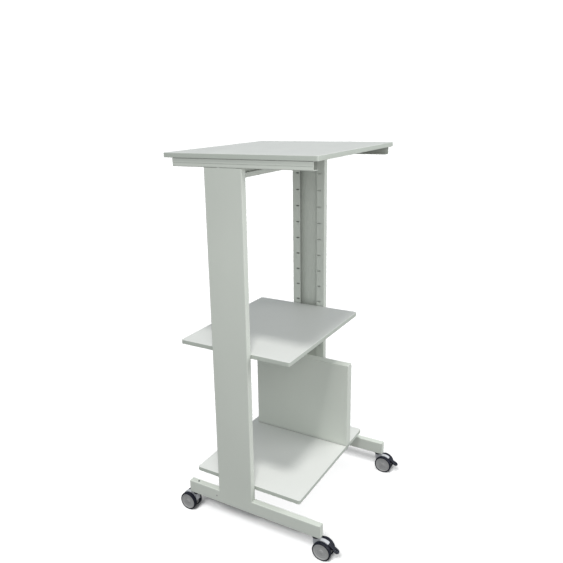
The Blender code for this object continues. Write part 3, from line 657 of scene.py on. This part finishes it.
def hood(tag, away, stem, axle, pivot):
    """Caster body between the wheels; a braked one has a stepped end and a slot for its pedal."""
    local = [(HOOD_BACK, 0.0440), (0.0100, 0.0240), (0.0180, 0.0205), (0.0270, 0.0200)]
    centre = (TRAIL, axle.z)
    if pivot is not None:
        local += arc(centre, HOOD_STEP_R, HOOD_ARC[0], HOOD_STEP, 24)
        local += arc(centre, HOOD_R, HOOD_STEP, HOOD_ARC[1], 14)
    else:
        local += arc(centre, HOOD_R, *HOOD_ARC, 40)
    corner = (HOOD_BACK + HOOD_CORNER, HOOD_TOP_Z - HOOD_CORNER)
    local += [(TRAIL / 2, HOOD_TOP_Z), (corner[0], HOOD_TOP_Z)]
    local += arc(corner, HOOD_CORNER, 90.0, 180.0, 5)[1:]
    loop = [(stem.y + away * u, z) for u, z in local]
    if away < 0:
        loop.reverse()
    bm = slab(bmesh.new(), loop, "X", stem.x - HOOD_HALF_T, stem.x + HOOD_HALF_T, HOOD_EDGE)
    steps = [("DIFFERENCE", rod(BORE_R, BORE_Z, 0.080, (stem.x, stem.y, 0.0), "Z")),
             ("DIFFERENCE", rod(EYE_R, -CUT, CUT, axle, "X"))]
    if pivot is not None:
        y = sorted(axle.y + away * reach for reach in TONGUE_ROOM_Y)
        half = TONGUE_HALF_W + TONGUE_PLAY
        room = box((stem.x - half, y[0], axle.z + TONGUE_ROOM_Z[0]),
                   (stem.x + half, y[1], axle.z + TONGUE_ROOM_Z[1]))
        steps.append(("DIFFERENCE", room))
        steps.append(("DIFFERENCE", rod(PIN_BORE_R, -CUT, CUT, pivot, "X", 24)))
    mesh = finish_mesh("hood_" + tag + "_moulding", combined(bm, *steps))
    piece("hood_" + tag + "_moulding", mesh, "caster_" + tag, "hood_plastic", "hood_" + tag)


TONGUE_HALF_W = 0.0027
TONGUE_EDGE = 0.0003
TONGUE_END = (0.0275, 0.0160)    # its end inside the root, outwards and up from the axle
PEDAL_EYE_R = 0.0036             # the tongue's round end on the pin
ROOT_ARC = (20.0, 52.0)          # ends of the root's inner face, in degrees from level about the axle
ROOT_R = (0.0260, 0.0243)        # its radius at those ends
ROOT_BROW = 45.0                 # where the root's outer face leaves the hood's rounding
ROOT_NOSE = ((0.0387, 0.0149), (0.0359, 0.0101))
ROOT_HALF_W = 0.0063
ROOT_EDGE = 0.0012
PLATE_FROM = (0.0260, 0.0190)    # where the foot plate leaves the root, from the axle
PLATE_SLOPE = 29.0               # degrees below level
PLATE_L = 0.0327
PLATE_FLARE = (0.009, 0.014)     # along the plate, where it widens
PLATE_HALF_W = 0.0095
PLATE_HALF_T = 0.0028
PLATE_EDGE = 0.0016
PLATE_SLOT = (0.015, 0.028)      # along the plate, the ends of its slot
PLATE_SLOT_HALF_W = 0.0025
PLATE_SLOT_EDGE = 0.0007
NEAR = 1e-4


def foot_plate(axle, away):
    """Sloping plate of a pedal, the tool for its slot, and the matrix that places both."""
    half = [(ROOT_HALF_W, 0.0), (ROOT_HALF_W, PLATE_FLARE[0])]
    for k in range(1, 6):
        ease = 0.5 - 0.5 * cos(pi * k / 6)
        half.append((ROOT_HALF_W + (PLATE_HALF_W - ROOT_HALF_W) * ease,
                     PLATE_FLARE[0] + (PLATE_FLARE[1] - PLATE_FLARE[0]) * k / 6))
    half.append((PLATE_HALF_W, PLATE_FLARE[1]))
    outline = half + arc((0.0, PLATE_L - PLATE_HALF_W), PLATE_HALF_W, 0.0, 180.0, 32)
    outline += [(-w, t) for w, t in half[::-1]]
    slope = radians(PLATE_SLOPE)
    start = axle + Vector((0.0, away * PLATE_FROM[0], PLATE_FROM[1]))
    along = Vector((0.0, away * cos(slope), -sin(slope)))
    normal = Vector((0.0, away * sin(slope), cos(slope)))
    turn = Matrix((Vector((1.0, 0.0, 0.0)), along, normal)).transposed()
    to_world = Matrix.Translation(start) @ turn.to_4x4()
    plate = slab(bmesh.new(), outline, "Z", -PLATE_HALF_T, PLATE_HALF_T, PLATE_EDGE)
    ends = [(0.0, t + PLATE_SLOT_HALF_W * s) for t, s in zip(PLATE_SLOT, (1.0, -1.0))]
    hole = stadium(ends[0], ends[1], PLATE_SLOT_HALF_W)
    slot = skin(bmesh.new(), [place(hole, "Z", -0.008), place(hole, "Z", 0.008)])
    for bm in (plate, slot):
        bmesh.ops.transform(bm, matrix=to_world, verts=bm.verts)
    return plate, slot, to_world


def pedal(tag, away, axle, pivot):
    """Brake pedal: tongue on the cross pin, root between the wheels, and a slotted foot plate."""
    def world(loop):
        moved = [(axle.y + away * u, axle.z + v) for u, v in loop]
        return moved if away > 0 else moved[::-1]

    inner = []
    for k in range(13):
        angle = radians(ROOT_ARC[0] + (ROOT_ARC[1] - ROOT_ARC[0]) * k / 12)
        radius = ROOT_R[0] + (ROOT_R[1] - ROOT_R[0]) * k / 12
        inner.append((radius * cos(angle), radius * sin(angle)))
    root = inner[::-1] + list(ROOT_NOSE[::-1]) + arc((0.0, 0.0), HOOD_R, ROOT_BROW, ROOT_ARC[1], 4)
    eye = (away * (pivot.y - axle.y), pivot.z - axle.z)
    tongue = stadium(eye, TONGUE_END, PEDAL_EYE_R)
    x = axle.x
    base = slab(bmesh.new(), world(root), "X", x - ROOT_HALF_W, x + ROOT_HALF_W, ROOT_EDGE)
    narrow = slab(bmesh.new(), world(tongue), "X", x - TONGUE_HALF_W, x + TONGUE_HALF_W, TONGUE_EDGE, 2)
    plate, slot, to_world = foot_plate(axle, away)
    bm = combined(base, ("UNION", narrow), ("UNION", plate), ("DIFFERENCE", slot),
                  ("DIFFERENCE", rod(PIN_BORE_R, -CUT, CUT, pivot, "X", 24)))
    to_plate = to_world.inverted()

    def on_slot(edge):
        for vert in edge.verts:
            w, t = (to_plate @ vert.co).xy
            if abs(w) > PLATE_SLOT_HALF_W + NEAR or not PLATE_SLOT[0] - NEAR < t < PLATE_SLOT[1] + NEAR:
                return False
        return True

    round_edges(bm, PLATE_SLOT_EDGE, on_slot, 4)
    mesh = finish_mesh("pedal_" + tag + "_moulding", bm, 40.0)
    piece("pedal_" + tag + "_moulding", mesh, "brake_" + tag, "black_plastic", "pedal_" + tag)


WASHER_BORE = 0.0053


def washer(tag, stem):
    """Thrust washer with a groove round its rim."""
    low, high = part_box("washer_" + tag)
    z0, z1 = low.z, high.z
    rim = (high.x - low.x) / 2
    middle = (z0 + z1) / 2
    profile = [(WASHER_BORE, z0), (rim - 0.0008, z0), (rim - 0.0002, z0 + 0.0003), (rim, z0 + 0.0009),
               (rim, middle - 0.0006), (rim - 0.0006, middle - 0.0002), (rim - 0.0006, middle + 0.0002),
               (rim, middle + 0.0006), (rim, z1 - 0.0009), (rim - 0.0002, z1 - 0.0003),
               (rim - 0.0008, z1), (WASHER_BORE, z1)]
    bm = spin(bmesh.new(), profile, (stem.x, stem.y, 0.0), "Z", 72, ring=True)
    mesh = finish_mesh("washer_" + tag + "_turned", bm)
    piece("washer_" + tag + "_turned", mesh, "frame", "black_plastic", "washer_" + tag)


def casters():
    """All four casters, round the joints of the frame."""
    for tag, away in CASTERS:
        stem = JOINT_AT["swivel_" + tag]
        axle = JOINT_AT["roll_" + tag + "_l"]
        pivot = JOINT_AT.get("pedal_" + tag)
        hood(tag, away, stem, axle, pivot)
        washer(tag, stem)
        refine("mount_" + tag, 0.0)
        refine("axle_" + tag, 0.0)
        for letter, hand in (("l", -1.0), ("r", 1.0)):
            low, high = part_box("hub_" + tag + "_" + letter)
            wheel(tag + "_" + letter, hand, high.x if hand < 0 else low.x, axle)
        if pivot is not None:
            pedal(tag, away, axle, pivot)
            refine("pedal_pin_" + tag, 0.0)


# ---------------------------------------------------------------- fixings
SCREW_HEAD_R = 3.8               # mm, as in the screw's outline
SCREW_HEAD_H = 2.3
RECESS_HALF_L = 0.0021           # cross recess
RECESS_HALF_W = 0.00042
RECESS_Z = (0.0011, 0.004)
SCREWED = (                      # sheet, its number of screws, and the outer ones' distance from its ends
    ("rail_", 3, 0.040), ("support_mid_", 2, 0.018), ("support_low_", 2, 0.015))
RAIL_SCREW_IN = 0.001            # a rail's screws sit this far inwards of its middle
GUARD_SCREW_HEAD = 0.0022        # height of the side guard's screw heads in the CAD


def screw_mesh():
    """Pan-head screw along +Z with its head's seat at Z = 0 and a cross recess."""
    dome = [(0.0, SCREW_HEAD_H)]
    for k in range(1, 9):
        angle = radians(90.0 * k / 8)
        dome.append((SCREW_HEAD_R * sin(angle) ** 0.8, 0.5 + (SCREW_HEAD_H - 0.5) * cos(angle)))
    profile = dome + [(SCREW_HEAD_R, 0.3), (SCREW_HEAD_R - 0.2, 0.05), (1.8, 0.05), (1.8, -9.0), (0.0, -12.0)]
    bm = spin(bmesh.new(), [(r / 1000, a / 1000) for r, a in profile], (0.0, 0.0, 0.0), "Z", 40)
    cross, other = (box((-x, -y, RECESS_Z[0]), (x, y, RECESS_Z[1]))
                    for x, y in ((RECESS_HALF_L, RECESS_HALF_W), (RECESS_HALF_W, RECESS_HALF_L)))
    bm = combined(bm, ("DIFFERENCE", combined(cross, ("UNION", other))))
    return finish_mesh("pan_head_screw", bm)


def screws():
    """Screws through the rails, shelf supports and side guard; identical ones share a mesh."""
    mesh = screw_mesh()
    seats = []
    for word, side in SIDES:
        for node, count, margin in SCREWED:
            low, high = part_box(node + word)
            x = (low.x + high.x) / 2 - side * (RAIL_SCREW_IN if node == "rail_" else 0.0)
            top = high.z - SHEET
            for k in range(count):
                y = low.y + margin + (high.y - low.y - 2 * margin) * k / (count - 1)
                seats.append(("%s%s_screw_%d" % (node, word, k + 1), (x, y, top), True, None))
    for word in ("front", "middle", "rear"):
        node = "guard_screw_" + word
        low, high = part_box(node)
        seat = ((low.x + high.x) / 2, (low.y + high.y) / 2, high.z - GUARD_SCREW_HEAD)
        seats.append((node + "_recessed", seat, False, node))
    for k, (name, at, upwards, node) in enumerate(seats):
        turn = Matrix.Rotation(radians(37.0 * k), 4, "Z")
        if upwards:
            turn = Matrix.Rotation(pi, 4, "X") @ turn
        piece(name, mesh, "frame", "zinc", node, Matrix.Translation(at) @ turn)


def fillet(bm, start, end, first, second, size, pitch=0.0021):
    """Rippled weld bead in the corner between two faces, whose outward normals are given."""
    start, end = Vector(start), Vector(end)
    first, second = Vector(first), Vector(second)
    length = (end - start).length
    count = max(4, int(length / pitch * 4))
    sink = (first + second) * -0.0002
    loops = []
    for k in range(count + 1):
        t = k / count
        taper = min(1.0, t * length / size, (1 - t) * length / size) ** 0.5 * 0.75 + 0.25
        swell = size * taper * (1.0 + 0.07 * sin(2 * pi * t * length / pitch))
        corner = start.lerp(end, t)
        loop = [corner + sink]
        for j in range(6):
            angle = radians(90.0 * j / 5)
            bulge = 1.0 + 0.12 * sin(2 * angle)
            reach = (first * cos(angle) + second * sin(angle)) * swell * bulge * 0.78
            loop.append(corner + reach + (sink if j in (0, 5) else Vector()))
        loops.append(loop)
    return skin(bm, loops)


BAR_FRONT_H = 0.0155             # height of the crossbar's front wall

WALL_BEAD = 0.0016               # legs of the beads across a column's front and rear walls,
WEB_BEAD = 0.0018                # inside it along its web,
BAR_BEAD = 0.0022                # and round the crossbar
OUTER_CLEAR = 0.004              # how far a bead stays from a column's outer bends,
INNER_CLEAR = 0.003              # from its inner ones
BAR_CLEAR = 0.002                # and from the crossbar's corners

FLUSH_SINK = 0.00002             # the ground-off weld on the outer face lies this far below it,
FLUSH_DEEP = 0.0019              # goes this deep,
FLUSH_CLEAR = 0.0030             # stays this far from the column's bends,
FLUSH_UNDER, FLUSH_OVER = 0.0034, 0.0004        # and reaches down the foot and up the column


def wall_beads(bm, ends_x, ends_y, z, up):
    """Beads across the front and rear walls of a column, at one of its ends."""
    outer, inner = ends_x
    for y, facing in zip(ends_y, (-1.0, 1.0)):
        fillet(bm, (outer, y, z), (inner, y, z), (0, facing, 0), (0, 0, up), WALL_BEAD)


def welded(name, bm, *sharp):
    """A painted weld on the frame."""
    piece(name, finish_mesh(name, bm, *sharp), "frame", "paint")


def welds():
    """Weld beads that join the frame's tubes and sheets, painted over."""
    bar_low, bar_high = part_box("crossbar")
    for word, side in SIDES:
        low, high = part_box("column_" + word)
        outer = high.x if side > 0 else low.x
        inner = low.x if side > 0 else high.x
        web = outer - side * SHEET
        wall_x = (outer - side * OUTER_CLEAR, inner + side * INNER_CLEAR)
        face = (-side, 0, 0)

        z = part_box("foot_" + word)[1].z
        bm = bmesh.new()
        wall_beads(bm, wall_x, (low.y, high.y), z, 1)
        fillet(bm, (web, low.y + OUTER_CLEAR, z), (web, high.y - OUTER_CLEAR, z), face, (0, 0, 1), WEB_BEAD)
        welded("weld_foot_" + word, bm, 60.0)

        x = sorted((outer - side * FLUSH_SINK, outer - side * FLUSH_DEEP))
        bm = box((x[0], low.y + FLUSH_CLEAR, z - FLUSH_UNDER),
                 (x[1], high.y - FLUSH_CLEAR, low.z + FLUSH_OVER))
        welded("weld_flush_" + word, bm)

        bm = bmesh.new()
        for y, facing, top in ((bar_low.y, -1.0, bar_low.z + BAR_FRONT_H), (bar_high.y, 1.0, bar_high.z)):
            fillet(bm, (web, y, bar_low.z + BAR_CLEAR), (web, y, top - BAR_CLEAR),
                   face, (0, facing, 0), BAR_BEAD)
        fillet(bm, (web, bar_low.y + BAR_CLEAR, bar_low.z), (web, bar_high.y - BAR_CLEAR, bar_low.z),
               face, (0, 0, -1), BAR_BEAD)
        welded("weld_crossbar_" + word, bm, 60.0)

        bm = bmesh.new()
        wall_beads(bm, wall_x, (low.y, high.y), high.z, -1)
        welded("weld_rail_" + word, bm, 60.0)


PLUG_Y = 0.154                   # side plug, behind the column
PLUG_LEVEL = 0.49                # its height, as a share of the foot's
HOLE_Y = 0.2395                  # hole on top of the foot, near its rear end
PLUG_PROFILE = (                 # mm: (radius, height above the face), like the one below
    (0.0, 0.45), (1.8, 0.4), (2.9, 0.2), (3.3, -0.1), (3.3, -1.5), (0.0, -1.5))
HOLE_PLUG_PROFILE = (
    (0.0, 2.2), (1.5, 2.0), (2.7, 1.3), (3.4, 0.5), (3.6, 0.04), (2.3, 0.02), (2.3, -6.0), (0.0, -6.0))


def plug(name, profile, centre, axis, facing, segments, slot):
    """Turned plug from (radius, height) pairs in millimetres."""
    bm = spin(bmesh.new(), [(r / 1000, facing * a / 1000) for r, a in profile], centre, axis, segments)
    piece(name, finish_mesh(name, bm), "frame", slot)


def plugs():
    """Small domed plug in each foot's outer face, and a black one in the hole on its top."""
    for word, side in SIDES:
        low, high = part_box("foot_" + word)
        outer = high.x if side > 0 else low.x
        face = (outer, PLUG_Y, low.z + PLUG_LEVEL * (high.z - low.z))
        plug("foot_plug_" + word, PLUG_PROFILE, face, "X", side, 40, "hub_plastic")
        top = ((low.x + high.x) / 2, HOLE_Y, high.z)
        plug("hole_plug_" + word, HOLE_PLUG_PROFILE, top, "Z", 1.0, 32, "black_plastic")


def sheet_and_boards():
    """Boards, sheet metal and tubes with their true bends."""
    for node in ("worktop", "shelf_mid", "shelf_low"):
        refine(node, 0.0)
    refine("side_guard", SHEET_EDGE, ("DIFFERENCE", mitres("side_guard")))
    refine("crossbar")
    for word, side in SIDES:
        for node in ("rail_", "column_", "foot_", "support_mid_", "support_low_"):
            refine(node + word)
        refine("cap_front_" + word, CAP_SEAM)
        refine("cap_rear_" + word, CAP_SEAM)


camera()
floor = studio()
sheet_and_boards()
casters()
screws()
welds()
plugs()
contact_light(floor)
